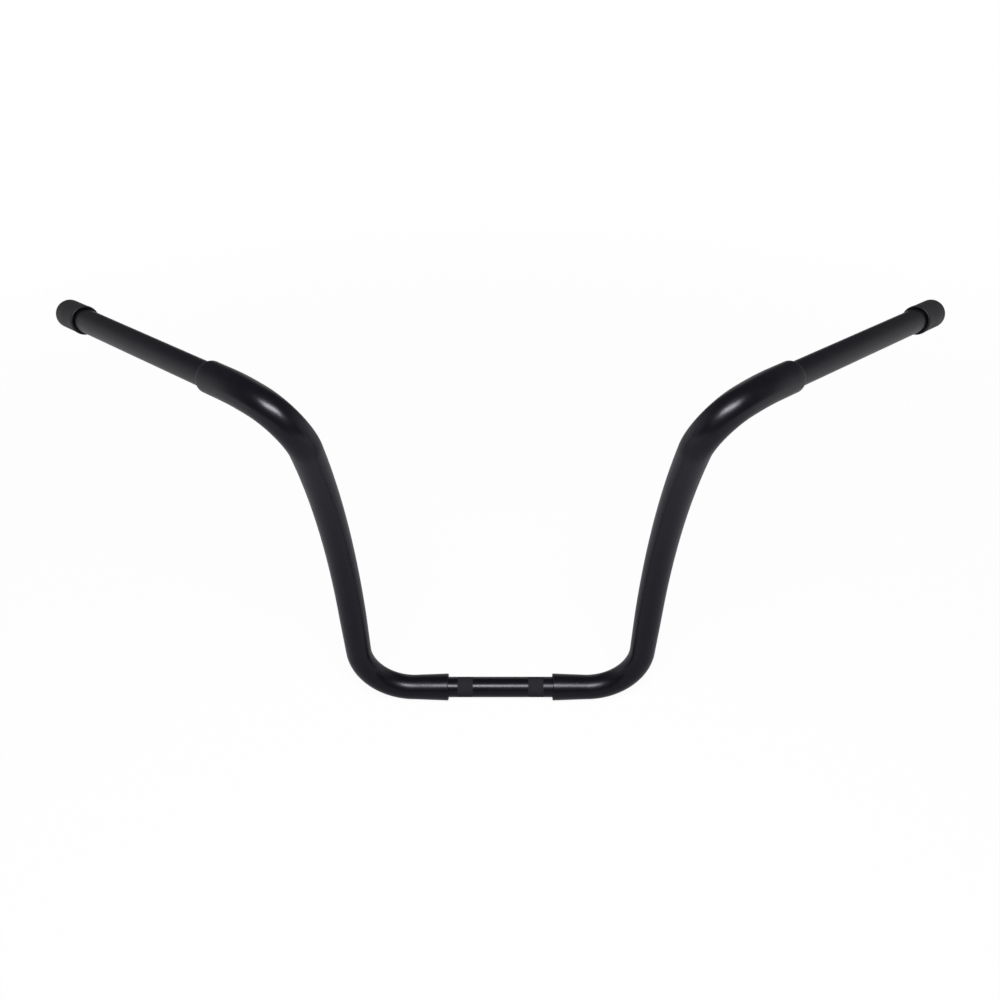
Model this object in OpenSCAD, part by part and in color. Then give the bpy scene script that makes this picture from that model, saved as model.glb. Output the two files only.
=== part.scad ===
// Motorcycle ape hanger handlebar: a fat tube bent up into two tall legs that
// sweep out and back to the grip ends, with a slimmer clamping section in the
// middle and a soft cap pushed over each end.
// The frame: origin at the middle of the clamping section, +X to the left hand
// of the rider, +Y back towards the rider, +Z up, with the grip ends level.
// All lengths are in millimetres and all angles in degrees.

/* [Tube] */
// Outer diameter of the fat tube
fat_d = 31.75; // [30:0.05:38]
// Wall of the fat tube
fat_wall = 2.8; // [1.5:0.1:3.5]
// Outer diameter of the clamping section and of the grip ends
slim_d = 25.4; // [22:0.1:26]
// Wall of the clamping section and of the grip ends
slim_wall = 3.2; // [2:0.1:4.5]
// Outer diameter of the fat tube at the step that faces the clamp
step_d = 33.5; // [31:0.1:38]
// Diameter to which the lower bend has drawn the fat tube down
drawn_d = 30.4; // [29:0.1:31.5]
// Radius rounded on the shoulder that faces the grip
shoulder_r = 3; // [0.5:0.1:3.1]
// Chamfer on the step that faces the clamp and on the ends of the tube
edge_chamfer = 0.4; // [0.2:0.1:0.8]

/* [Clamping section] */
// Length of the clamping section between its two steps
clamp_len = 132.3; // [118:0.1:160]
// Distance between the middles of the two knurled bands
knurl_spacing = 88.9; // [60:0.1:94]
// Length of one knurled band
knurl_len = 20; // [12:1:22]
// Depth to which the tube is turned down under the knurl
knurl_depth = 0.2; // [0.1:0.05:0.4]

/* [Bends] */
// Length from the step to the start of the lower bend
foot_len = 42.6; // [30:0.1:70]
// Centre line radius of the lower bend
lower_r = 65.4; // [50:0.1:90]
// Angle of the lower bend
lower_angle = 88.6; // [80:0.1:95]
// Length of the straight lower part of a leg
shin_len = 56; // [20:1:140]
// Centre line radius of the long bow of a leg
bow_r = 561; // [400:1:1200]
// Angle of the long bow of a leg
bow_angle = 28; // [5:1:32]
// Centre line radius of the tight part of the upper bend
upper_r = 44.7; // [40:0.1:80]
// Angle of the tight part of the upper bend
upper_angle = 89.5; // [60:0.5:95]
// Angle by which the upper bend turns out of the plane of the lower bend
upper_turn = 34.9; // [0:0.1:50]
// Centre line radius of the run-out of the upper bend
runout_r = 150; // [100:5:300]
// Angle of the run-out of the upper bend
runout_angle = 14.6; // [5:0.1:30]
// Length of the fat tube from the run-out to the shoulder
arm_len = 27; // [20:0.5:60]
// Angle by which the foot of a leg leans back, which levels the grip ends
lean_back = 2.4; // [0:0.1:25]

/* [Grip ends] */
// Length of a grip end from the shoulder to the end of the tube
grip_len = 243; // [180:1:280]

/* [End caps] */
// Outer diameter of a cap
cap_d = 30.6; // [29:0.1:36]
// Length of a cap
cap_len = 33.5; // [20:0.5:50]
// Thickness of the closed end of a cap
cap_floor = 3; // [2:0.1:5]
// Radius rounded on the closed end of a cap
cap_edge_r = 3; // [0.5:0.1:4]
// Outer diameter of the lip around the mouth of a cap
lip_d = 31.2; // [30:0.1:36]
// Length of the lip
lip_len = 3; // [1.5:0.1:6]
// Length over which the lip slopes down to the cap
lip_slope = 3.5; // [1:0.1:6]
// Radius rounded on the outside of the lip
lip_r = 1.2; // [0.3:0.1:1.4]
// Depth of the funnel in the mouth of a cap, which helps it onto the tube
lead_depth = 2; // [1:0.1:6]

/* [Hidden] */
// Length by which the cut of a bore runs past what it cuts
past = 1;
// Length by which the cone on the end of a straight piece runs into a bend
lap = 0.6;
// Radius that this cone loses over that length
dip = 0.1;
// Radius by which a bend is slimmer than the straight pieces beside it
draw = 0.02;
// Length of straight tube between two bends that follow each other
rest_len = 2;
// Length over which the bore narrows ahead of a step
neck_len = 10;
// Length of solid wall behind a step, where the slim tube is seated
seat_len = 6;
// Bores of the fat tube, of the drawn tube and of the slim sections
fat_bore = fat_d - 2 * fat_wall;
drawn_bore = drawn_d - 2 * fat_wall;
slim_bore = slim_d - 2 * slim_wall;
// Sub-part to show
$fa = 4;
$fs = 0.6;

// Moves its children to the end of a straight run of the tube.
module after_straight(len) {
    translate([0, 0, len]) children();
}

// Moves its children to the end of a bend towards local +X.
module after_bend(r, a) {
    translate([r * (1 - cos(a)), 0, r * sin(a)]) rotate([0, a, 0]) children();
}

// A bend of round section towards local +X, which starts along +Z.
module bend(r, a, d) {
    translate([r, 0, 0]) rotate([90, 0, 180])
        rotate_extrude(angle = a) translate([r, 0]) circle(d = d - 2 * draw);
}

// A straight piece of len along +Z whose diameter goes from d1 to d2. Where before
// or after is set, that end is closed by a cone that runs into the bend beside it.
module straight(len, d1, d2, before = true, after = true) {
    cylinder(h = len, d1 = d1, d2 = d2);
    if (before) after_straight(-lap) cylinder(h = lap, d1 = d1 - 2 * dip, d2 = d1);
    if (after) after_straight(len) cylinder(h = lap, d1 = d2, d2 = d2 - 2 * dip);
}

// Takes its children to the left step, with +Z along the tube and +X up.
module at_step() {
    rotate([-lean_back, 0, 0]) rotate([0, 90, 0]) rotate([0, 0, 180])
        after_straight(clamp_len / 2) children();
}

// Takes its children from the step to the top of the straight part of the leg,
// turned so that +X is the side to which the long bow goes.
module to_bow() {
    after_straight(foot_len) after_bend(lower_r, lower_angle)
        after_straight(shin_len) rotate([0, 0, 90]) children();
}

// Takes its children from the foot of the bow to the start of the upper bend,
// turned so that +X is the side to which the upper bend goes.
module to_upper_bend() {
    after_bend(bow_r, bow_angle) after_straight(rest_len)
        rotate([0, 0, 90 + upper_turn]) children();
}

// Takes its children from the start of the upper bend to the start of the arm.
module to_arm() {
    after_bend(upper_r, upper_angle) after_straight(rest_len)
        after_bend(runout_r, runout_angle) children();
}

// Takes its children from the origin to the left shoulder.
module at_shoulder() {
    at_step() to_bow() to_upper_bend() to_arm() after_straight(arm_len) children();
}

// The bends and legs of the fat tube as a solid, from the end of the foot to the
// arm. The lower bend has the diameter drawn, and the rest has the diameter full.
module leg_run(drawn, full) {
    after_straight(foot_len) {
        bend(lower_r, lower_angle, drawn);
        after_bend(lower_r, lower_angle) straight(shin_len, drawn, full);
    }
    to_bow() {
        bend(bow_r, bow_angle, full);
        after_bend(bow_r, bow_angle) straight(rest_len, full, full);
        to_upper_bend() {
            bend(upper_r, upper_angle, full);
            after_bend(upper_r, upper_angle) {
                straight(rest_len, full, full);
                after_straight(rest_len) bend(runout_r, runout_angle, full);
            }
        }
    }
}

// The foot of the fat tube, from the chamfered step to the lower bend.
module foot_skin() {
    cylinder(h = edge_chamfer, d1 = step_d - 2 * edge_chamfer, d2 = step_d);
    after_straight(edge_chamfer) straight(foot_len - edge_chamfer, step_d, drawn_d, false);
}

// The arm of the fat tube, which ends at local zero with a rounded shoulder.
module arm_skin() {
    r = fat_d / 2;
    body_len = arm_len - shoulder_r;
    after_straight(-arm_len) rotate_extrude() {
        polygon([[0, -lap], [r - dip, -lap], [r, 0], [r, body_len], [0, body_len]]);
        square([r - shoulder_r, arm_len]);
        translate([r - shoulder_r, body_len]) circle(r = shoulder_r);
    }
}

// A grip end from the shoulder at local zero, with a chamfer at its open end.
module grip_skin() {
    body_len = grip_len - edge_chamfer;
    after_straight(-seat_len) cylinder(h = seat_len + body_len, d = slim_d);
    after_straight(body_len) cylinder(h = edge_chamfer, d1 = slim_d, d2 = slim_d - 2 * edge_chamfer);
}

// The whole outside of the left half of the tube, from the step outwards.
module half_skin() {
    at_step() {
        foot_skin();
        leg_run(drawn_d, fat_d);
    }
    at_shoulder() {
        arm_skin();
        grip_skin();
    }
}

// The bore of the left half of the tube, which narrows ahead of each step.
module half_bore() {
    neck_end = seat_len + neck_len;
    at_step() {
        after_straight(-clamp_len / 2) cylinder(h = clamp_len / 2 + seat_len, d = slim_bore);
        after_straight(seat_len) cylinder(h = neck_len, d1 = slim_bore, d2 = drawn_bore);
        after_straight(neck_end) straight(foot_len - neck_end, drawn_bore, drawn_bore, false);
        leg_run(drawn_bore, fat_bore);
    }
    at_shoulder() {
        after_straight(-arm_len) straight(arm_len - neck_end, fat_bore, fat_bore, true, false);
        after_straight(-neck_end) cylinder(h = neck_len, d1 = fat_bore, d2 = slim_bore);
        after_straight(-seat_len) cylinder(h = seat_len + grip_len + past, d = slim_bore);
    }
}

// The clamping section along X, turned down a little under the two knurls.
module clamp_skin() {
    rotate([0, 90, 0]) difference() {
        cylinder(h = clamp_len + 2 * seat_len, d = slim_d, center = true);
        for (side = [-1, 1]) after_straight(side * knurl_spacing / 2) difference() {
            cylinder(h = knurl_len, d = slim_d + past, center = true);
            cylinder(h = knurl_len + past, d = slim_d - 2 * knurl_depth, center = true);
        }
    }
}

// The bent tube in one piece.
module handlebar() {
    color([0.05, 0.05, 0.06]) difference() {
        union() {
            clamp_skin();
            half_skin();
            mirror([1, 0, 0]) half_skin();
        }
        half_bore();
        mirror([1, 0, 0]) half_bore();
    }
}

// Outline of half a cap in radius and length, from the mouth at zero to the floor.
module cap_outline() {
    cap_r = cap_d / 2;
    mouth_r = lip_d / 2 - lip_r;
    slim_r = slim_d / 2;
    lip_end = lip_len + lip_slope;
    difference() {
        union() {
            square([mouth_r, lip_len]);
            translate([0, lip_r]) square([lip_d / 2, lip_len - lip_r]);
            translate([mouth_r, lip_r]) circle(r = lip_r);
            polygon([[0, lip_len], [lip_d / 2, lip_len], [cap_r, lip_end], [0, lip_end]]);
            translate([0, lip_len]) square([cap_r, cap_len - lip_len - cap_edge_r]);
            square([cap_r - cap_edge_r, cap_len]);
            translate([cap_r - cap_edge_r, cap_len - cap_edge_r]) circle(r = cap_edge_r);
        }
        translate([0, -past]) square([slim_r, cap_len - cap_floor + past]);
        polygon([[0, -past], [mouth_r, -past], [mouth_r, 0], [slim_r, lead_depth], [0, lead_depth]]);
    }
}

// A soft cap over the end of the tube on the left side.
module cap() {
    color([0.16, 0.16, 0.17]) at_shoulder()
        after_straight(grip_len - cap_len + cap_floor) rotate_extrude() cap_outline();
}

module left_end_cap() {
    cap();
}

module right_end_cap() {
    mirror([1, 0, 0]) cap();
}

handlebar();
left_end_cap();
right_end_cap();
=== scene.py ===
"""Ape hanger handlebar in gloss black, with soft end caps, in plain studio light.

The bar is one tube, swept along a chain of straight runs and bends. Two bands of cut teeth lie on
its clamping section, and a soft cap closes each end. The classes of the pieces hold their sizes in
millimetres and degrees, and the studio holds its own in metres.
"""

import logging
import math
from dataclasses import dataclass, field
from enum import Enum

import bmesh
import bpy
from mathutils import Euler, Matrix, Vector

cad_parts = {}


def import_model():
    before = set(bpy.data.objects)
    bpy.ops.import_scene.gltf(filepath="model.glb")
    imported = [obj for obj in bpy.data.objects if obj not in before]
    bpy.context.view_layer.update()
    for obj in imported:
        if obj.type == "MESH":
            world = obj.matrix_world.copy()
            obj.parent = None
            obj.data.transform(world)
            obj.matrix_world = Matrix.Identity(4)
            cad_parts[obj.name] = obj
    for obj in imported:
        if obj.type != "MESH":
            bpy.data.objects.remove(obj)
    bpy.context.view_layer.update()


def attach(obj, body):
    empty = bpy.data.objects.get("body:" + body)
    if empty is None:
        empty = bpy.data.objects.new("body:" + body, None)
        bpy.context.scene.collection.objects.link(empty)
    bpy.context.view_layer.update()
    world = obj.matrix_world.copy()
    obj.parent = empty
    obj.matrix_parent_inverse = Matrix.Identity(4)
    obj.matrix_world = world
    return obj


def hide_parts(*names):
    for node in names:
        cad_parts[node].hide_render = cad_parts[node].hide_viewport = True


logging.basicConfig(level=logging.INFO, format="%(message)s")
log = logging.getLogger("handlebar")

Colour = tuple[float, float, float, float]
Point = tuple[float, float, float]
Span = tuple[float, float]

MM = 0.001
BODY = "root"
WHITE: Colour = (1.0, 1.0, 1.0, 1.0)


class Side(Enum):
    """The two mirrored halves of the bar, named from the rider's seat."""

    LEFT = 1
    RIGHT = -1


def linear(hex_colour: str) -> Colour:
    """Turns an sRGB hex colour into linear light.

    Args:
        hex_colour: Six hex digits after a hash.

    Returns:
        The linear red, green and blue, and an alpha of one.
    """
    digits = hex_colour.lstrip("#")
    parts = [int(digits[i : i + 2], 16) / 255.0 for i in (0, 2, 4)]
    # The two branches and their numbers are those of the sRGB standard.
    red, green, blue = (
        p / 12.92 if p <= 0.04045 else ((p + 0.055) / 1.055) ** 2.4 for p in parts
    )
    return red, green, blue, 1.0


def quarter_turn(stride: int) -> list[float]:
    """Gives the angles from 0 to 90 degrees, a stride apart, in radians."""
    return [math.radians(turned) for turned in range(0, 91, stride)]


def node(
    tree: bpy.types.NodeTree,
    kind: str,
    settings: dict[str, object] | None = None,
    inputs: dict[str | int, object] | None = None,
) -> bpy.types.Node:
    """Adds one node with its settings and inputs.

    Args:
        tree: The shader or geometry tree that gets the node.
        kind: Blender's name of the node type.
        settings: Attributes of the node itself.
        inputs: A value or another node's output, by the name or position of the input.

    Returns:
        The new node.
    """
    made = tree.nodes.new(kind)
    for name, value in (settings or {}).items():
        setattr(made, name, value)
    for name, given in (inputs or {}).items():
        if isinstance(given, bpy.types.NodeSocket):
            tree.links.new(given, made.inputs[name])
        else:
            made.inputs[name].default_value = given
    return made


def blank_material(name: str) -> bpy.types.Material:
    """Makes a material whose tree has no nodes yet.

    Args:
        name: The material's name.

    Returns:
        The new material.
    """
    made = bpy.data.materials.new(name)
    made.use_nodes = True
    made.node_tree.nodes.clear()
    return made


def open_tree(
    name: str, inputs: dict[str, str]
) -> tuple[bpy.types.GeometryNodeTree, bpy.types.Node]:
    """Starts a geometry tree that takes and gives geometry.

    Args:
        name: The tree's name.
        inputs: Socket types by the name of each further input.

    Returns:
        The tree, and its node that gives the inputs.
    """
    tree = bpy.data.node_groups.new(name, "GeometryNodeTree")
    geometry = {"Geometry": "NodeSocketGeometry"}
    for direction, sockets in (("INPUT", geometry | inputs), ("OUTPUT", geometry)):
        for socket, kind in sockets.items():
            tree.interface.new_socket(socket, in_out=direction, socket_type=kind)
    return tree, node(tree, "NodeGroupInput")


def close_tree(
    tree: bpy.types.GeometryNodeTree, shape: bpy.types.NodeSocket, finish: bpy.types.NodeSocket
) -> None:
    """Ends a geometry tree: its instances become real and the shape gets its material.

    Args:
        tree: The geometry tree.
        shape: The finished geometry.
        finish: The tree's input for the material.
    """
    real = node(tree, "GeometryNodeRealizeInstances", inputs={"Geometry": shape})
    dressed = node(
        tree,
        "GeometryNodeSetMaterial",
        inputs={"Geometry": real.outputs["Geometry"], "Material": finish},
    )
    node(tree, "NodeGroupOutput", inputs={"Geometry": dressed.outputs["Geometry"]})


def new_object(name: str, mesh: bpy.types.Mesh) -> bpy.types.Object:
    """Puts a mesh into the scene as an object at the origin.

    Args:
        name: The object's name.
        mesh: The mesh, already in its place.

    Returns:
        The new object.
    """
    made = bpy.data.objects.new(name, mesh)
    bpy.context.scene.collection.objects.link(made)
    return made


def run_tree(
    carrier: bpy.types.Object,
    tree: bpy.types.GeometryNodeTree,
    inputs: dict[str, object],
    name: str,
) -> bpy.types.Object:
    """Runs a geometry tree on an object and keeps the result as a plain mesh.

    Args:
        carrier: The object that the tree starts from, which is removed afterwards.
        tree: The geometry tree.
        inputs: Values by the name of the tree's input.
        name: The name of the new object.

    Returns:
        The new object with the plain mesh.
    """
    modifier = carrier.modifiers.new(tree.name, "NODES")
    modifier.node_group = tree
    for socket in tree.interface.items_tree:
        if socket.item_type == "SOCKET" and socket.in_out == "INPUT" and socket.name in inputs:
            modifier[socket.identifier] = inputs[socket.name]
    bpy.context.view_layer.update()
    evaluated = carrier.evaluated_get(bpy.context.evaluated_depsgraph_get())
    mesh = bpy.data.meshes.new_from_object(evaluated)
    mesh.name = name
    bpy.data.objects.remove(carrier)
    return new_object(name, mesh)


# ----- finishes


@dataclass(frozen=True)
class GlossBlackPowderCoat:
    """Gloss black powder coat on bent steel tube, sprayed as powder and baked.

    The eye gets a deep black with a clear highlight. The ripple that the powder leaves as it flows
    breaks the highlight up a little, handling dulls it in patches, and fine dust lifts the black.
    All three are drawn at their real size.
    """

    colour: str = "#0c0c12"
    dusty_colour: str = "#141419"
    roughness: float = 0.27
    handled_roughness: float = 0.34
    ior: float = 1.5
    mirror_level: float = 0.48
    mirror_tint: str = "#f7f3ff"
    ripple_mm: float = 3.2
    ripple_depth_mm: float = 0.0015
    # A span gives the levels of the noise at which a patch begins and is at its fullest.
    handled_mm: float = 38.0
    handled_span: Span = (0.35, 0.72)
    dust_mm: float = 9.0
    dust_span: Span = (0.5, 0.8)

    def material(self) -> bpy.types.Material:
        """Builds the material.

        Returns:
            The powder coat's material.
        """
        made = blank_material("gloss_black_powder_coat")
        tree = made.node_tree
        place = node(tree, "ShaderNodeTexCoord").outputs["Object"]
        handling = node(
            tree,
            "ShaderNodeTexNoise",
            inputs={
                "Vector": place,
                "Scale": 1.0 / (self.handled_mm * MM),
                "Detail": 4.0,
                "Roughness": 0.6,
            },
        )
        gloss = node(
            tree,
            "ShaderNodeMapRange",
            inputs={
                "Value": handling.outputs["Fac"],
                "From Min": self.handled_span[0],
                "From Max": self.handled_span[1],
                "To Min": self.roughness,
                "To Max": self.handled_roughness,
            },
        )
        dust = node(
            tree,
            "ShaderNodeTexNoise",
            inputs={
                "Vector": place,
                "Scale": 1.0 / (self.dust_mm * MM),
                "Detail": 6.0,
                "Roughness": 0.7,
            },
        )
        dust_share = node(
            tree,
            "ShaderNodeMapRange",
            inputs={
                "Value": dust.outputs["Fac"],
                "From Min": self.dust_span[0],
                "From Max": self.dust_span[1],
                "To Min": 0.0,
                "To Max": 1.0,
            },
        )
        colour = node(
            tree,
            "ShaderNodeMix",
            {"data_type": "RGBA"},
            {
                0: dust_share.outputs["Result"],
                6: linear(self.colour),
                7: linear(self.dusty_colour),
            },
        )
        ripple = node(
            tree,
            "ShaderNodeTexNoise",
            inputs={
                "Vector": place,
                "Scale": 1.0 / (self.ripple_mm * MM),
                "Detail": 1.0,
                "Roughness": 0.4,
            },
        )
        bump = node(
            tree,
            "ShaderNodeBump",
            inputs={
                "Height": ripple.outputs["Fac"],
                "Strength": 1.0,
                "Distance": self.ripple_depth_mm * MM,
            },
        )
        shader = node(
            tree,
            "ShaderNodeBsdfPrincipled",
            inputs={
                "Base Color": colour.outputs[2],
                "Roughness": gloss.outputs["Result"],
                "Normal": bump.outputs["Normal"],
                "IOR": self.ior,
                "Specular IOR Level": self.mirror_level,
                "Specular Tint": linear(self.mirror_tint),
            },
        )
        node(tree, "ShaderNodeOutputMaterial", inputs={"Surface": shader.outputs["BSDF"]})
        return made


@dataclass(frozen=True)
class CutKnurlUnderCoat:
    """Cross-cut steel knurl under a thin coat.

    The cuts scatter the light, so the eye gets an even matt band where the gloss beside it shows
    highlights. The real grit of such a coat is about 0.1 mm, so it is drawn five times coarser to
    show.
    """

    colour: str = "#242428"
    worn_colour: str = "#343439"
    roughness: float = 0.8
    ior: float = 1.5
    mirror_level: float = 0.25
    grit_mm: float = 0.5
    grit_depth_mm: float = 0.05
    grit_strength: float = 0.6

    def material(self) -> bpy.types.Material:
        """Builds the material.

        Returns:
            The knurl's material.
        """
        made = blank_material("matt_coat_over_cut_knurl")
        tree = made.node_tree
        grit = node(
            tree,
            "ShaderNodeTexNoise",
            inputs={
                "Vector": node(tree, "ShaderNodeTexCoord").outputs["Object"],
                "Scale": 1.0 / (self.grit_mm * MM),
                "Detail": 3.0,
                "Roughness": 0.6,
            },
        )
        colour = node(
            tree,
            "ShaderNodeMix",
            {"data_type": "RGBA"},
            {0: grit.outputs["Fac"], 6: linear(self.colour), 7: linear(self.worn_colour)},
        )
        bump = node(
            tree,
            "ShaderNodeBump",
            inputs={
                "Height": grit.outputs["Fac"],
                "Strength": self.grit_strength,
                "Distance": self.grit_depth_mm * MM,
            },
        )
        shader = node(
            tree,
            "ShaderNodeBsdfPrincipled",
            inputs={
                "Base Color": colour.outputs[2],
                "Normal": bump.outputs["Normal"],
                "Roughness": self.roughness,
                "IOR": self.ior,
                "Specular IOR Level": self.mirror_level,
            },
        )
        node(tree, "ShaderNodeOutputMaterial", inputs={"Surface": shader.outputs["BSDF"]})
        return made


@dataclass(frozen=True)
class DippedRubber:
    """Soft black rubber, formed by dipping.

    The eye gets a satin skin with a fine grain, and a pale bloom that comes and goes in patches.
    The real grain is about 0.2 mm, so it is drawn four to five times coarser to show.
    """

    colour: str = "#1b1b1e"
    bloom_colour: str = "#252528"
    # The bloom changes the roughness by this much between these two levels of its noise.
    bloom_mm: float = 14.0
    bloom_span: Span = (0.3, 0.7)
    roughness: float = 0.52
    roughness_change: Span = (-0.06, 0.08)
    ior: float = 1.52
    mirror_level: float = 0.35
    sheen: float = 0.04
    sheen_roughness: float = 0.5
    grain_mm: float = 0.9
    grain_depth_mm: float = 0.06
    grain_strength: float = 0.7

    def material(self) -> bpy.types.Material:
        """Builds the material.

        Returns:
            The caps' material.
        """
        made = blank_material("dipped_black_rubber")
        tree = made.node_tree
        place = node(tree, "ShaderNodeTexCoord").outputs["Object"]
        bloom = node(
            tree,
            "ShaderNodeTexNoise",
            inputs={
                "Vector": place,
                "Scale": 1.0 / (self.bloom_mm * MM),
                "Detail": 5.0,
                "Roughness": 0.6,
            },
        )
        colour = node(
            tree,
            "ShaderNodeMix",
            {"data_type": "RGBA"},
            {0: bloom.outputs["Fac"], 6: linear(self.colour), 7: linear(self.bloom_colour)},
        )
        skin = node(
            tree,
            "ShaderNodeMapRange",
            inputs={
                "Value": bloom.outputs["Fac"],
                "From Min": self.bloom_span[0],
                "From Max": self.bloom_span[1],
                "To Min": self.roughness + self.roughness_change[0],
                "To Max": self.roughness + self.roughness_change[1],
            },
        )
        grain = node(
            tree,
            "ShaderNodeTexNoise",
            inputs={
                "Vector": place,
                "Scale": 1.0 / (self.grain_mm * MM),
                "Detail": 3.0,
                "Roughness": 0.55,
            },
        )
        bump = node(
            tree,
            "ShaderNodeBump",
            inputs={
                "Height": grain.outputs["Fac"],
                "Strength": self.grain_strength,
                "Distance": self.grain_depth_mm * MM,
            },
        )
        shader = node(
            tree,
            "ShaderNodeBsdfPrincipled",
            inputs={
                "Base Color": colour.outputs[2],
                "Roughness": skin.outputs["Result"],
                "Normal": bump.outputs["Normal"],
                "IOR": self.ior,
                "Specular IOR Level": self.mirror_level,
                "Sheen Weight": self.sheen,
                "Sheen Roughness": self.sheen_roughness,
            },
        )
        node(tree, "ShaderNodeOutputMaterial", inputs={"Surface": shader.outputs["BSDF"]})
        return made


# ----- the bent tube


@dataclass
class Station:
    """One cross-section of the tube: where its centre is, and its radius, in mm."""

    place: Vector
    radius: float


@dataclass
class TubeWalk:
    """A walk along the tube's centre line that notes a cross-section at every stride.

    The frame's +Z looks along the tube, and every bend goes towards its +X. Lengths are in mm and
    angles in degrees.
    """

    frame: Matrix
    run_stride: float = 8.0
    bend_stride: float = 2.0
    fewest_in_bend: int = 6
    stations: list[Station] = field(default_factory=list)

    def mark(self, radius: float, ahead: float = 0.0) -> None:
        """Notes a section of this radius, so far ahead of the frame."""
        self.stations.append(Station(self.frame @ Vector((0.0, 0.0, ahead)), radius))

    def advance(self, length: float) -> None:
        """Moves the frame straight ahead without noting anything."""
        self.frame = self.frame @ Matrix.Translation((0.0, 0.0, length))

    def turn(self, angle: float) -> None:
        """Turns the frame about the tube, which chooses the side of the next bend."""
        self.frame = self.frame @ Matrix.Rotation(math.radians(angle), 4, "Z")

    def run(self, length: float, start_r: float, end_r: float) -> None:
        """Walks a straight run, along which the radius may change.

        Args:
            length: How long the run is.
            start_r: The tube's radius where the run starts.
            end_r: The tube's radius where it ends.
        """
        count = max(1, round(length / self.run_stride))
        for i in range(1, count + 1):
            share = i / count
            self.mark(start_r + (end_r - start_r) * share, length * share)
        self.advance(length)

    def bend(self, radius: float, angle: float, tube_r: float) -> None:
        """Walks a bend towards the frame's +X.

        Args:
            radius: The radius of the bend at the centre line.
            angle: How far it bends.
            tube_r: The tube's own radius in the bend.
        """
        count = max(self.fewest_in_bend, round(angle / self.bend_stride))
        start = self.frame.copy()
        for i in range(1, count + 1):
            a = math.radians(angle) * i / count
            along = Vector((radius * (1.0 - math.cos(a)), 0.0, radius * math.sin(a)))
            self.frame = start @ Matrix.Translation(along) @ Matrix.Rotation(a, 4, "Y")
            self.mark(tube_r)


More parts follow.
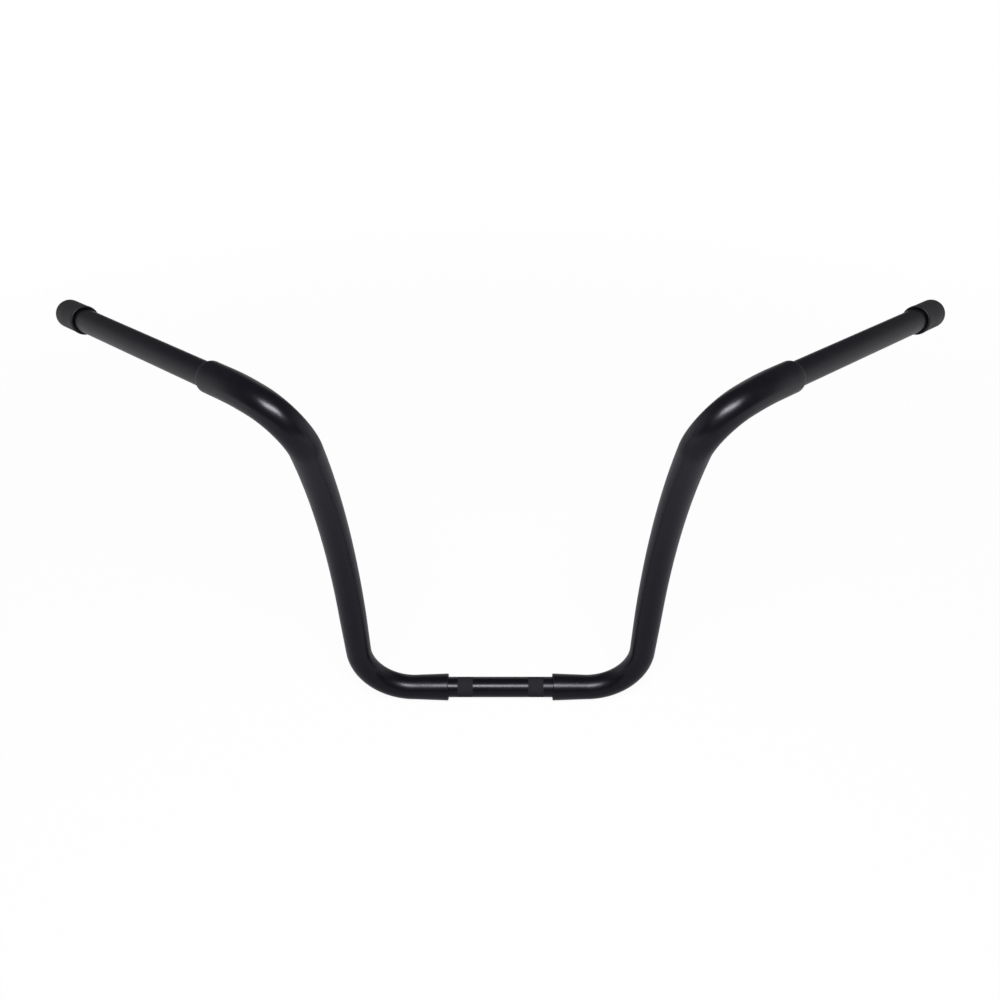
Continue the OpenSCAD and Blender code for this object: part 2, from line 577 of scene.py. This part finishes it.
@dataclass
class BentTube:
    """The whole bar as one tube. Lengths are in mm and angles in degrees.

    From the middle outwards it has the clamping section with its turned-down band, the step, the
    foot, the lower bend, the shin, the bow of the leg, the upper bend, the run-out bend, the arm,
    the rounded shoulder and the grip end.
    """

    # The tube's radii: slim where it is clamped and gripped, fat elsewhere, a little wider at the
    # step beside the clamp, and a little thinner where the lower bend has drawn it.
    slim_r: float = 12.7
    fat_r: float = 15.875
    step_r: float = 16.75
    drawn_r: float = 15.2
    shoulder_r: float = 3.0
    edge_chamfer: float = 0.4
    # The clamping section between the steps, and its two bands.
    clamp_len: float = 132.3
    knurl_spacing: float = 88.9
    knurl_len: float = 20.0
    knurl_depth: float = 0.2
    # The lengths in which the bands and the steps change the radius, short enough to look square.
    knurl_edge: float = 0.05
    step_rise: float = 0.02
    # The leg, which leans back as a whole and bows in a plane of its own.
    foot_len: float = 42.6
    lower_r: float = 65.4
    lower_angle: float = 88.6
    shin_len: float = 56.0
    bow_r: float = 561.0
    bow_angle: float = 28.0
    lean_back: float = 2.4
    # The upper bend, turned out of the leg's plane, and the gentler bend that follows it.
    upper_r: float = 44.7
    upper_angle: float = 89.5
    upper_turn: float = 34.9
    runout_r: float = 150.0
    runout_angle: float = 14.6
    rest_len: float = 2.0
    arm_len: float = 27.0
    grip_len: float = 243.0
    # How finely the mesh follows all this, and the angle from which an edge is a crisp one.
    sides: int = 96
    shoulder_stride: int = 10
    crease_angle: float = 30.0

    @property
    def band_r(self) -> float:
        """The radius of the turned-down bands that carry the knurl."""
        return self.slim_r - self.knurl_depth

    def start_frame(self) -> Matrix:
        """Sets up the frame in the middle of the bar, looking along +X and leaning back.

        Returns:
            The frame from which the left half is walked.
        """
        turns = ((-self.lean_back, "X"), (90.0, "Y"), (180.0, "Z"))
        lean, aim, roll = (Matrix.Rotation(math.radians(angle), 4, axis) for angle, axis in turns)
        return lean @ aim @ roll

    def leg(self) -> TubeWalk:
        """Walks from the middle of the bar to the end of its left shoulder.

        Returns:
            The walk, with its frame where the grip end starts.
        """
        walk = TubeWalk(self.start_frame())
        slim, band, fat = self.slim_r, self.band_r, self.fat_r
        rim = self.step_r - self.edge_chamfer
        band_start = (self.knurl_spacing - self.knurl_len) / 2.0
        beside_band = self.clamp_len / 2.0 - band_start - self.knurl_len
        walk.mark(slim)
        walk.run(band_start, slim, slim)
        walk.run(self.knurl_edge, band, band)
        walk.run(self.knurl_len - 2.0 * self.knurl_edge, band, band)
        walk.run(self.knurl_edge, slim, slim)
        walk.run(beside_band - self.step_rise, slim, slim)
        walk.run(self.step_rise, rim, rim)
        walk.run(self.edge_chamfer, rim, self.step_r)
        walk.run(self.foot_len - self.edge_chamfer, self.step_r, self.drawn_r)
        walk.bend(self.lower_r, self.lower_angle, self.drawn_r)
        walk.run(self.shin_len, self.drawn_r, fat)
        walk.turn(90.0)
        walk.bend(self.bow_r, self.bow_angle, fat)
        walk.run(self.rest_len, fat, fat)
        walk.turn(90.0 + self.upper_turn)
        walk.bend(self.upper_r, self.upper_angle, fat)
        walk.run(self.rest_len, fat, fat)
        walk.bend(self.runout_r, self.runout_angle, fat)
        walk.run(self.arm_len - self.shoulder_r, fat, fat)
        for a in quarter_turn(self.shoulder_stride)[1:]:
            inwards = self.shoulder_r * (1.0 - math.cos(a))
            walk.mark(fat - inwards, self.shoulder_r * math.sin(a))
        walk.advance(self.shoulder_r)
        return walk

    def shoulder_frame(self) -> Matrix:
        """Gives the frame where the left grip end starts, looking along it."""
        return self.leg().frame

    def half(self) -> list[Station]:
        """Walks the left half of the centre line from the middle to the end of the tube.

        Returns:
            The stations of the left half, in order.
        """
        walk = self.leg()
        slim = self.slim_r
        walk.run(self.step_rise, slim, slim)
        walk.run(self.grip_len - self.edge_chamfer - self.step_rise, slim, slim)
        walk.run(self.edge_chamfer, slim, slim - self.edge_chamfer)
        return walk.stations

    def centre_line(self) -> bpy.types.Object:
        """Makes the centre line as a chain of edges that carries the tube's radius.

        Returns:
            The object with the chain, in metres.
        """
        left = self.half()
        # The middle station belongs to both halves, so the mirrored one leaves it out.
        right = [Station(s.place * Vector((-1.0, 1.0, 1.0)), s.radius) for s in left[:0:-1]]
        chain = right + left
        mesh = bpy.data.meshes.new("handlebar_line")
        points = [tuple(s.place * MM) for s in chain]
        mesh.from_pydata(points, [(i, i + 1) for i in range(len(chain) - 1)], [])
        radii = mesh.attributes.new("tube_radius", "FLOAT", "POINT")
        radii.data.foreach_set("value", [s.radius * MM for s in chain])
        return new_object("handlebar_line", mesh)

    def tree(self) -> bpy.types.GeometryNodeTree:
        """Builds the tree that sweeps a round section along the centre line.

        Returns:
            The geometry tree.
        """
        tree, given = open_tree(
            "SweptTube",
            {
                "Sides": "NodeSocketInt",
                "Crease Angle": "NodeSocketFloat",
                "Finish": "NodeSocketMaterial",
            },
        )
        line = node(tree, "GeometryNodeMeshToCurve", inputs={"Mesh": given.outputs["Geometry"]})
        radius = node(
            tree,
            "GeometryNodeInputNamedAttribute",
            {"data_type": "FLOAT"},
            {"Name": "tube_radius"},
        )
        section = node(
            tree,
            "GeometryNodeCurvePrimitiveCircle",
            {"mode": "RADIUS"},
            {"Radius": 1.0, "Resolution": given.outputs["Sides"]},
        )
        swept = node(
            tree,
            "GeometryNodeCurveToMesh",
            inputs={
                "Curve": line.outputs["Curve"],
                "Profile Curve": section.outputs["Curve"],
                "Scale": radius.outputs["Attribute"],
                "Fill Caps": True,
            },
        )
        # The square steps stay crisp, because only edges under the crease angle are smooth.
        crease = node(tree, "GeometryNodeInputMeshEdgeAngle")
        gentle = node(
            tree,
            "FunctionNodeCompare",
            {"data_type": "FLOAT", "operation": "LESS_THAN"},
            {0: crease.outputs["Unsigned Angle"], 1: given.outputs["Crease Angle"]},
        )
        faces = node(
            tree,
            "GeometryNodeSetShadeSmooth",
            {"domain": "FACE"},
            {"Geometry": swept.outputs["Mesh"], "Shade Smooth": True},
        )
        edges = node(
            tree,
            "GeometryNodeSetShadeSmooth",
            {"domain": "EDGE"},
            {"Geometry": faces.outputs["Geometry"], "Shade Smooth": gentle.outputs["Result"]},
        )
        close_tree(tree, edges.outputs["Geometry"], given.outputs["Finish"])
        return tree

    def build(self, finish: bpy.types.Material) -> bpy.types.Object:
        """Makes the tube as a plain mesh that stands for the CAD node.

        Args:
            finish: The material of the tube.

        Returns:
            The tube's object.
        """
        sizes = {
            "Sides": self.sides,
            "Crease Angle": math.radians(self.crease_angle),
            "Finish": finish,
        }
        made = run_tree(self.centre_line(), self.tree(), sizes, "handlebar_tube")
        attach(made, BODY)
        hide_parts("handlebar")
        return made


# ----- the knurl


@dataclass
class CutKnurl:
    """The two cross-cut bands where the risers grip. Sizes are in mm.

    The teeth stand on the tube's turned-down bands, and a skirt under each one reaches into the
    tube, so that no gloss shows between them. Knurls are cut 1 to 1.6 mm apart, and this one has
    the coarsest cut, because a finer one wouldn't show in the render.
    """

    tube: BentTube
    pitch: float = 1.6
    skirt: float = 0.08
    # The crests stay this far under the tube's own face, and the flat on top is this share of the
    # tooth's width.
    crest_drop: float = 0.02
    flat_share: float = 0.22
    # Wear takes a tooth down to this share of its height at most.
    lowest_share: float = 0.92
    seed: int = 7

    def tooth(self) -> bpy.types.Object:
        """Makes one four-sided tooth of the knurl, with its tip cut flat.

        Returns:
            The tooth, standing on the XY plane, in metres.
        """
        half = self.pitch / 2.0
        height = self.tube.slim_r - self.crest_drop - self.tube.band_r
        corners = [(half, 0.0), (0.0, half), (-half, 0.0), (0.0, -half)]
        rings = ((1.0, -self.skirt), (1.0, 0.0), (self.flat_share, height))
        points = [
            (x * share * MM, y * share * MM, z * MM) for share, z in rings for x, y in corners
        ]
        faces = [
            (low + i, low + (i + 1) % 4, low + 4 + (i + 1) % 4, low + 4 + i)
            for low in (0, 4)
            for i in range(4)
        ]
        mesh = bpy.data.meshes.new("knurl_tooth")
        mesh.from_pydata(points, [], faces + [(8, 9, 10, 11), (3, 2, 1, 0)])
        return new_object("knurl_tooth", mesh)

    def tree(self) -> bpy.types.GeometryNodeTree:
        """Builds the tree that wraps staggered rows of teeth round the tube along X.

        Returns:
            The geometry tree.
        """
        tree, given = open_tree(
            "CutKnurl",
            {
                "Rows": "NodeSocketInt",
                "Teeth Around": "NodeSocketInt",
                "Length": "NodeSocketFloat",
                "Root Radius": "NodeSocketFloat",
                "Band Middle": "NodeSocketFloat",
                "Lowest Share": "NodeSocketFloat",
                "Seed": "NodeSocketInt",
                "Tooth": "NodeSocketObject",
                "Finish": "NodeSocketMaterial",
            },
        )
        index = node(tree, "GeometryNodeInputIndex").outputs[0]
        known: dict[object, bpy.types.NodeSocket] = {
            "index": index,
            "rows": given.outputs["Rows"],
            "around": given.outputs["Teeth Around"],
            "length": given.outputs["Length"],
            "radius": given.outputs["Root Radius"],
            "middle": given.outputs["Band Middle"],
        }
        # From the number of a tooth come its row and column, and from those its place along the
        # band and its angle round the tube. Every second row is shifted by half a tooth.
        steps = (
            ("count", "MULTIPLY", "rows", "around"),
            ("index_middle", "ADD", "index", 0.5),
            ("rows_passed", "DIVIDE", "index_middle", "around"),
            ("row", "FLOOR", "rows_passed", 0.0),
            ("row_start", "MULTIPLY", "row", "around"),
            ("column", "SUBTRACT", "index", "row_start"),
            ("odd_row", "MODULO", "row", 2.0),
            ("shift", "MULTIPLY", "odd_row", 0.5),
            ("shifted", "ADD", "column", "shift"),
            ("turns", "DIVIDE", "shifted", "around"),
            ("angle", "MULTIPLY", "turns", 2.0 * math.pi),
            ("row_middle", "ADD", "row", 0.5),
            ("along", "DIVIDE", "row_middle", "rows"),
            ("off_middle", "SUBTRACT", "along", 0.5),
            ("reach", "MULTIPLY", "off_middle", "length"),
            ("x", "ADD", "reach", "middle"),
            ("sine", "SINE", "angle", 0.0),
            ("cosine", "COSINE", "angle", 0.0),
            ("y", "MULTIPLY", "sine", "radius"),
            ("z", "MULTIPLY", "cosine", "radius"),
            ("lean", "MULTIPLY", "angle", -1.0),
        )
        for name, operation, first, second in steps:
            terms = {0: known.get(first, first), 1: known.get(second, second)}
            known[name] = node(tree, "ShaderNodeMath", {"operation": operation}, terms).outputs[0]
        points = node(tree, "GeometryNodePoints", inputs={"Count": known["count"]})
        spot = node(
            tree,
            "ShaderNodeCombineXYZ",
            inputs={"X": known["x"], "Y": known["y"], "Z": known["z"]},
        )
        placed = node(
            tree,
            "GeometryNodeSetPosition",
            inputs={"Geometry": points.outputs[0], "Position": spot.outputs[0]},
        )
        lean = node(tree, "ShaderNodeCombineXYZ", inputs={"X": known["lean"]})
        tooth = node(
            tree,
            "GeometryNodeObjectInfo",
            {"transform_space": "ORIGINAL"},
            {"Object": given.outputs["Tooth"], "As Instance": True},
        )
        wear = node(
            tree,
            "FunctionNodeRandomValue",
            {"data_type": "FLOAT"},
            {
                2: given.outputs["Lowest Share"],
                3: 1.0,
                "ID": index,
                "Seed": given.outputs["Seed"],
            },
        )
        size = node(
            tree,
            "ShaderNodeCombineXYZ",
            inputs={"X": 1.0, "Y": 1.0, "Z": wear.outputs[1]},
        )
        cut = node(
            tree,
            "GeometryNodeInstanceOnPoints",
            inputs={
                "Points": placed.outputs["Geometry"],
                "Instance": tooth.outputs["Geometry"],
                "Rotation": lean.outputs[0],
                "Scale": size.outputs[0],
            },
        )
        close_tree(tree, cut.outputs["Instances"], given.outputs["Finish"])
        return tree

    def build(self, finish: bpy.types.Material) -> list[bpy.types.Object]:
        """Makes both bands as plain meshes that ride on the bar.

        Args:
            finish: The material of the teeth.

        Returns:
            The objects of the two bands.
        """
        tree = self.tree()
        tooth = self.tooth()
        root_r, length, row_width = self.tube.band_r, self.tube.knurl_len, self.pitch / 2.0
        bands = []
        for side in Side:
            carrier = new_object("knurl_carrier", bpy.data.meshes.new("knurl_carrier"))
            sizes = {
                "Rows": round(length / row_width) - 1,
                "Teeth Around": round(2.0 * math.pi * root_r / self.pitch),
                "Length": (length - row_width) * MM,
                "Root Radius": root_r * MM,
                "Band Middle": side.value * self.tube.knurl_spacing / 2.0 * MM,
                "Lowest Share": self.lowest_share,
                "Seed": self.seed,
                "Tooth": tooth,
                "Finish": finish,
            }
            band = run_tree(carrier, tree, sizes, f"knurl_{side.name.lower()}")
            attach(band, BODY)
            bands.append(band)
        bpy.data.objects.remove(tooth)
        return bands


# ----- the end caps


@dataclass
class EndCap:
    """A soft cap pushed over the end of the tube. Lengths are in mm and angles in degrees."""

    side: Side
    tube: BentTube
    outer_r: float = 15.3
    length: float = 33.5
    floor: float = 3.0
    edge_r: float = 3.0
    # The thicker lip round the open rim slopes down to the cap's outside, and a cone leads the
    # tube in.
    lip_outer_r: float = 15.6
    lip_len: float = 3.0
    lip_slope: float = 3.5
    lip_r: float = 1.2
    lead_depth: float = 2.0
    # How finely the mesh follows the roundings, and the angle from which an edge is a crisp one.
    sides: int = 96
    edge_stride: int = 10
    lip_stride: int = 15
    crease_angle: float = 40.0

    def outline(self) -> list[Span]:
        """Draws the half section from the inner floor round the outside to the end's centre.

        Returns:
            Radius and length of each corner, with the mouth at length zero.
        """
        bore, middle = self.tube.slim_r, self.length / 2.0
        inner_floor = self.length - self.floor
        points = [(0.0, inner_floor), (bore, inner_floor), (bore, middle), (bore, self.lead_depth)]
        for a in quarter_turn(self.lip_stride):
            inwards, along = self.lip_r * (1.0 - math.sin(a)), self.lip_r * (1.0 - math.cos(a))
            points.append((self.lip_outer_r - inwards, along))
        points.append((self.lip_outer_r, self.lip_len))
        points.append((self.outer_r, self.lip_len + self.lip_slope))
        points.append((self.outer_r, middle))
        for a in quarter_turn(self.edge_stride):
            inwards, back = self.edge_r * (1.0 - math.cos(a)), self.edge_r * (1.0 - math.sin(a))
            points.append((self.outer_r - inwards, self.length - back))
        points.append((0.0, self.length))
        return points

    def shell(self) -> bmesh.types.BMesh:
        """Turns the outline about the cap's own axis, which is +Z.

        Returns:
            The closed shell, with a single point where the outline meets the axis.
        """
        shape = bmesh.new()
        rings: list[list[bmesh.types.BMVert]] = []
        angles = [2.0 * math.pi * i / self.sides for i in range(self.sides)]
        for radius, along in self.outline():
            round_here = angles if radius > 0.0 else angles[:1]
            places = [(radius * math.cos(a), radius * math.sin(a), along) for a in round_here]
            rings.append([shape.verts.new(place) for place in places])
        for one, two in zip(rings, rings[1:]):
            for i in range(self.sides):
                j = (i + 1) % self.sides
                near = [one[i % len(one)], one[j % len(one)]]
                far = [two[j % len(two)], two[i % len(two)]]
                # On the axis both near or both far corners are the same point, which counts once.
                shape.faces.new(list(dict.fromkeys(near + far)))
        return shape

    def build(self, finish: bpy.types.Material) -> bpy.types.Object:
        """Puts the cap on the end of its grip.

        Args:
            finish: The material of the cap.

        Returns:
            The cap's object.
        """
        name = f"{self.side.name.lower()}_end_cap"
        mouth = self.tube.grip_len - self.length + self.floor
        shape = self.shell()
        shape.transform(self.tube.shoulder_frame() @ Matrix.Translation((0.0, 0.0, mouth)))
        shape.transform(Matrix.Scale(MM, 4))
        if self.side is Side.RIGHT:
            shape.transform(Matrix.Scale(-1.0, 4, Vector((1.0, 0.0, 0.0))))
        bmesh.ops.recalc_face_normals(shape, faces=shape.faces)
        for face in shape.faces:
            face.smooth = True
        for edge in shape.edges:
            edge.smooth = edge.calc_face_angle(0.0) < math.radians(self.crease_angle)
        mesh = bpy.data.meshes.new(f"{name}_skin")
        shape.to_mesh(mesh)
        shape.free()
        mesh.materials.append(finish)
        made = new_object(f"{name}_skin", mesh)
        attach(made, BODY)
        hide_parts(name)
        return made


# ----- the studio


@dataclass(frozen=True)
class SoftLamp:
    """One soft rectangular lamp. Lengths are in metres and the power is in watts."""

    name: str
    place: Point
    aim: Point
    size: Span
    power: float

    def build(self) -> None:
        """Hangs the lamp in its place, facing its aim."""
        data = bpy.data.lights.new(self.name, "AREA")
        data.shape = "RECTANGLE"
        data.size, data.size_y = self.size
        data.energy = self.power
        made = bpy.data.objects.new(self.name, data)
        made.location = self.place
        towards = Vector(self.aim) - Vector(self.place)
        made.rotation_euler = towards.to_track_quat("-Z", "Y").to_euler()
        bpy.context.scene.collection.objects.link(made)


@dataclass(frozen=True)
class PaperSheet:
    """A white sheet that only mirroring surfaces show, given by the directions that it fills.

    Each span belongs to one part of a direction of length one, and runs from where the sheet is
    still dark to where it is fully white.
    """

    aside: Span
    behind: Span
    up: Span


@dataclass
class Studio:
    """Pale floor, white backdrop, one soft lamp and the photograph's camera.

    Lengths are in metres, apart from the camera's lens and sensor, which are in mm. Angles are in
    degrees. Levels and shares run from 0 to 1, where a level of 1 is white.
    """

    camera_place: Point = (0.0, -0.6841, 0.7891)
    camera_pitch: float = 35.926
    camera_lens: float = 28.8
    camera_sensor: float = 36.0
    camera_shift: float = -0.0005
    camera_near: float = 0.01
    key: SoftLamp = SoftLamp(
        name="key", place=(0.0, -0.95, 1.75), aim=(0.0, 0.0, 0.2), size=(1.1, 0.5), power=30.0
    )
    floor_height: float = -0.017
    floor_half: float = 6.0
    floor_colour: str = "#c6c5cb"
    floor_roughness: float = 0.9
    # Mirrored in the bar, the floor glows with painted light that only glossy rays see, a painted
    # reflection of white paper, which lightens from its near level to the backdrop's level over
    # this
    #     # span of distance to the side. Seen straight, it turns from a near share of white to all
    #     of
    #     # it over the second span, which is measured from the middle of the bar.
    near_floor_level: float = 0.08
    floor_level_span: Span = (0.4, 1.6)
    near_glow_share: float = 0.95
    glow_span: Span = (0.6, 2.2)
    room_colour: str = "#ebebf3"
    room_strength: float = 0.1
    backdrop_level: float = 0.6
    side_sheets: PaperSheet = PaperSheet(aside=(0.35, 0.95), behind=(-0.45, 0.0), up=(0.85, 0.0))
    back_sheet: PaperSheet = PaperSheet(aside=(0.26, 0.06), behind=(0.0, 0.3), up=(0.55, 0.1))

    def camera(self) -> None:
        """Sets up the camera at the photograph's viewing angle."""
        data = bpy.data.cameras.new("camera")
        data.lens = self.camera_lens
        data.sensor_width = self.camera_sensor
        data.shift_x = self.camera_shift
        data.clip_start = self.camera_near
        made = bpy.data.objects.new("camera", data)
        made.location = self.camera_place
        made.rotation_euler = Euler((math.radians(90.0 - self.camera_pitch), 0.0, 0.0))
        bpy.context.scene.collection.objects.link(made)
        bpy.context.scene.camera = made

    def seen_share(
        self, tree: bpy.types.NodeTree, mirrored: bpy.types.NodeSocket
    ) -> bpy.types.NodeSocket:
        """Says how much of the white background each ray sees.

        Args:
            tree: The shader tree that gets the nodes.
            mirrored: How much of it a mirroring surface shows.

        Returns:
            A socket that is 1 for camera and transmission rays, and the mirrored share for glossy
            rays.
        """
        rays = node(tree, "ShaderNodeLightPath")
        straight = node(
            tree,
            "ShaderNodeMath",
            {"operation": "MAXIMUM"},
            {0: rays.outputs["Is Camera Ray"], 1: rays.outputs["Is Transmission Ray"]},
        )
        glossy = node(
            tree,
            "ShaderNodeMath",
            {"operation": "MULTIPLY"},
            {0: rays.outputs["Is Glossy Ray"], 1: mirrored},
        )
        seen = node(
            tree,
            "ShaderNodeMath",
            {"operation": "MAXIMUM"},
            {0: straight.outputs[0], 1: glossy.outputs[0]},
        )
        return seen.outputs[0]

    def floor_material(self) -> bpy.types.Material:
        """Builds the pale paper of the floor, white to the camera and with a soft shadow.

        Returns:
            The floor's material.
        """
        made = blank_material("pale_paper_floor")
        tree = made.node_tree
        place = node(tree, "ShaderNodeTexCoord").outputs["Object"]
        # The light that the floor throws back keeps its own colour, and the camera sees white.
        sheet = node(
            tree,
            "ShaderNodeMix",
            {"data_type": "RGBA"},
            {
                0: node(tree, "ShaderNodeLightPath").outputs["Is Camera Ray"],
                6: linear(self.floor_colour),
                7: WHITE,
            },
        )
        paper = node(
            tree,
            "ShaderNodeBsdfDiffuse",
            inputs={"Color": sheet.outputs[2], "Roughness": self.floor_roughness},
        )
        glow = node(tree, "ShaderNodeEmission", inputs={"Color": WHITE, "Strength": 1.0})
        # The floor's white glow for glossy rays is painted light, which the bar shows as a painted
        # reflection: weak close by, where the bar mirrors mostly the lit paper, and growing lighter
        # towards both sides.
        parts = node(tree, "ShaderNodeSeparateXYZ", inputs={"Vector": place})
        aside = node(tree, "ShaderNodeMath", {"operation": "ABSOLUTE"}, {0: parts.outputs["X"]})
        mirrored = node(
            tree,
            "ShaderNodeMapRange",
            inputs={
                "Value": aside.outputs[0],
                "From Min": self.floor_level_span[0],
                "From Max": self.floor_level_span[1],
                "To Min": self.near_floor_level,
                "To Max": self.backdrop_level,
            },
        )
        # Near the bar the floor keeps a share of its shaded paper, and far off it is plain white.
        distance = node(tree, "ShaderNodeVectorMath", {"operation": "LENGTH"}, {0: place})
        glow_share = node(
            tree,
            "ShaderNodeMapRange",
            inputs={
                "Value": distance.outputs["Value"],
                "From Min": self.glow_span[0],
                "From Max": self.glow_span[1],
                "To Min": self.near_glow_share,
                "To Max": 1.0,
            },
        )
        share = node(
            tree,
            "ShaderNodeMath",
            {"operation": "MULTIPLY"},
            {
                0: glow_share.outputs["Result"],
                1: self.seen_share(tree, mirrored.outputs["Result"]),
            },
        )
        both = node(
            tree,
            "ShaderNodeMixShader",
            inputs={0: share.outputs[0], 1: paper.outputs["BSDF"], 2: glow.outputs["Emission"]},
        )
        node(tree, "ShaderNodeOutputMaterial", inputs={"Surface": both.outputs["Shader"]})
        return made

    def floor(self) -> None:
        """Lays the plain pale floor under the bar."""
        corners = ((-1, -1), (1, -1), (1, 1), (-1, 1))
        points = [(x * self.floor_half, y * self.floor_half, self.floor_height) for x, y in corners]
        mesh = bpy.data.meshes.new("floor")
        mesh.from_pydata(points, [], [(0, 1, 2, 3)])
        mesh.materials.append(self.floor_material())
        made = new_object("floor", mesh)

    def backdrop_share(self, tree: bpy.types.NodeTree) -> bpy.types.NodeSocket:
        """Says how white each direction of the room is in a mirroring surface.

        White sheets stand low down: wide ones at both sides of the bar and a narrow one behind it.
        The room above and in front is dark.

        Args:
            tree: The world's tree.

        Returns:
            A socket that is the backdrop's level towards the sheets and 0 towards the dark room.
        """
        # In a world's tree the generated coordinate is the direction of the ray.
        way = node(tree, "ShaderNodeTexCoord").outputs["Generated"]
        parts = node(tree, "ShaderNodeSeparateXYZ", inputs={"Vector": way})
        aside = node(tree, "ShaderNodeMath", {"operation": "ABSOLUTE"}, {0: parts.outputs["X"]})
        directions = (aside.outputs[0], parts.outputs["Y"], parts.outputs["Z"])
        lightest: bpy.types.NodeSocket | float = 0.0
        for sheet in (self.side_sheets, self.back_sheet):
            whole: bpy.types.NodeSocket | float = 1.0
            for direction, (dark, white) in zip(directions, (sheet.aside, sheet.behind, sheet.up)):
                fade = node(
                    tree,
                    "ShaderNodeMapRange",
                    {"interpolation_type": "SMOOTHSTEP"},
                    {
                        "Value": direction,
                        "From Min": dark,
                        "From Max": white,
                        "To Min": 0.0,
                        "To Max": 1.0,
                    },
                )
                whole = node(
                    tree,
                    "ShaderNodeMath",
                    {"operation": "MULTIPLY"},
                    {0: whole, 1: fade.outputs["Result"]},
                ).outputs[0]
            lightest = node(
                tree, "ShaderNodeMath", {"operation": "MAXIMUM"}, {0: lightest, 1: whole}
            ).outputs[0]
        level = node(
            tree,
            "ShaderNodeMath",
            {"operation": "MULTIPLY"},
            {0: lightest, 1: self.backdrop_level},
        )
        return level.outputs[0]

    def world(self) -> None:
        """Makes the dim room, and the white backdrop that is seen straight or mirrored."""
        world = bpy.data.worlds.new("studio")
        bpy.context.scene.world = world
        world.use_nodes = True
        tree = world.node_tree
        tree.nodes.clear()
        room = node(
            tree,
            "ShaderNodeBackground",
            inputs={"Color": linear(self.room_colour), "Strength": self.room_strength},
        )
        white = node(tree, "ShaderNodeBackground", inputs={"Color": WHITE, "Strength": 1.0})
        seen = self.seen_share(tree, self.backdrop_share(tree))
        both = node(
            tree,
            "ShaderNodeMixShader",
            inputs={0: seen, 1: room.outputs[0], 2: white.outputs[0]},
        )
        node(tree, "ShaderNodeOutputWorld", inputs={"Surface": both.outputs[0]})

    def build(self) -> None:
        """Sets up the whole studio."""
        self.camera()
        self.floor()
        self.world()
        self.key.build()
        bpy.context.scene.view_settings.view_transform = "Standard"


def main() -> None:
    """Loads the frame, builds each part of the bar and the studio, and logs each piece's face
    count.
    """
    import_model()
    coat = GlossBlackPowderCoat().material()
    knurl_coat = CutKnurlUnderCoat().material()
    rubber = DippedRubber().material()
    tube = BentTube()
    pieces = [tube.build(coat)]
    pieces += CutKnurl(tube).build(knurl_coat)
    pieces += [EndCap(side, tube).build(rubber) for side in Side]
    for piece in pieces:
        log.info("%s: %d faces", piece.name, len(piece.data.polygons))
    Studio().build()


if __name__ == "__main__":
    main()
